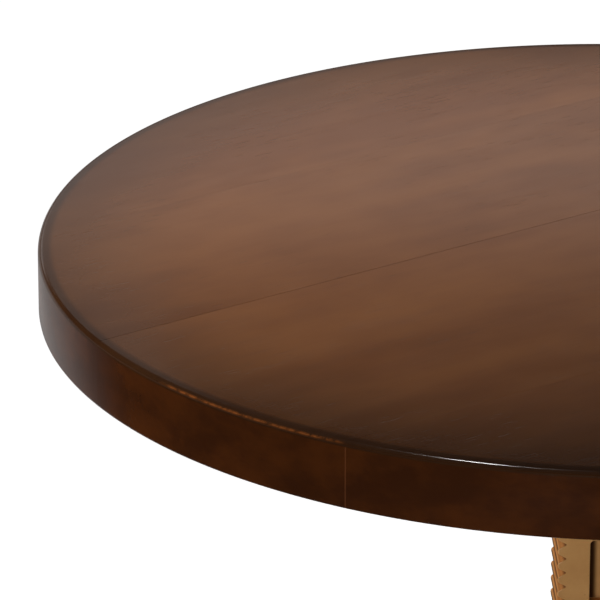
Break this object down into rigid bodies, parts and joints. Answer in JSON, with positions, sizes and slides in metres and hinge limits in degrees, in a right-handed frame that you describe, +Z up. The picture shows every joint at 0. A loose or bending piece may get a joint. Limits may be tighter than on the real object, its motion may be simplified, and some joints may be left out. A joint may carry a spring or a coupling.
{
  "type": "adjustable side table",
  "caption": "Round plank-top side table on a toothed brass-finished post, raised and lowered by a hand crank and pinion, with a lock knob and a cast four-leg base.",
  "frame": {"origin": "on the floor under the centre of the round top and of the post", "axes": "+Z up; the post's front faces -Y, its teeth face -X and the lock knob +X"},
  "size_m": [0.48, 0.48, 0.635],
  "materials": {
    "walnut_top": "dark stained, satin lacquer",
    "cast_brass_finish": "antique brass plating over a casting, satin",
    "tube_brass_finish": "antique brass plating, satin",
    "steel_fastener": "darkened steel",
    "bright_steel": "machined",
    "bronze_bearing": "machined bronze",
    "black_nylon": "matte",
    "brake_leather": "matte",
    "walnut_grip": "dark stained, satin lacquer"
  },
  "bodies": {
    "base": {"base_hub": "cast_brass_finish", "column": "tube_brass_finish", "hub_screws": "steel_fastener", "leg_1": "cast_brass_finish", "leg_2": "cast_brass_finish", "leg_3": "cast_brass_finish", "leg_4": "cast_brass_finish", "leg_bolts": "steel_fastener", "leg_glide_1": "black_nylon", "leg_glide_2": "black_nylon", "leg_glide_3": "black_nylon", "leg_glide_4": "black_nylon", "gear_case": "cast_brass_finish", "skirt_screws": "steel_fastener", "guide_sleeve": "black_nylon", "guide_liner": "bronze_bearing", "liner_screws": "steel_fastener", "case_cover": "cast_brass_finish", "cover_screws": "steel_fastener", "rear_bush": "bronze_bearing", "front_bush": "bronze_bearing", "brake_pad": "brake_leather"},
    "top": {"top_plank_1": "walnut_top", "top_plank_2": "walnut_top", "top_plank_3": "walnut_top", "top_plank_4": "walnut_top", "top_flange": "cast_brass_finish", "flange_screws": "steel_fastener", "rack_post": "cast_brass_finish", "post_bolts": "steel_fastener", "post_nuts": "steel_fastener", "post_shoe": "black_nylon", "shoe_screws": "steel_fastener"},
    "crank": {"crank_pinion": "bright_steel", "crank_shaft": "bright_steel", "pinion_key": "bright_steel", "retaining_ring": "bright_steel", "crank_arm": "cast_brass_finish", "crank_washer": "tube_brass_finish", "crank_nut": "tube_brass_finish", "grip_spindle": "bright_steel"},
    "grip": {"crank_grip": "walnut_grip", "grip_ferrule": "tube_brass_finish"},
    "lock": {"lock_knob": "cast_brass_finish", "lock_stud": "bright_steel"}
  },
  "joints": [
    {"name": "top_lift", "type": "slide", "parent": "base", "child": "top", "axis": [0, 0, 1], "range_m": [-0.125, 0.075]},
    {"name": "crank_turn", "type": "hinge", "parent": "base", "child": "crank", "pos_m": [-0.03803, 0, 0.37215], "axis": [0, -1, 0], "range_deg": [-592, 356]},
    {"name": "grip_spin", "type": "hinge", "parent": "crank", "child": "grip", "pos_m": [-0.07057, -0.09, 0.29907], "axis": [0, -1, 0], "continuous": true},
    {"name": "lock_turn", "type": "hinge", "parent": "base", "child": "lock", "pos_m": [0.052, 0, 0.36215], "axis": [1, 0, 0], "range_deg": [0, 270]}
  ],
  "couplings": [
    {"joint": "crank_turn", "follows": "top_lift", "rad_per_m": 82.457}
  ]
}
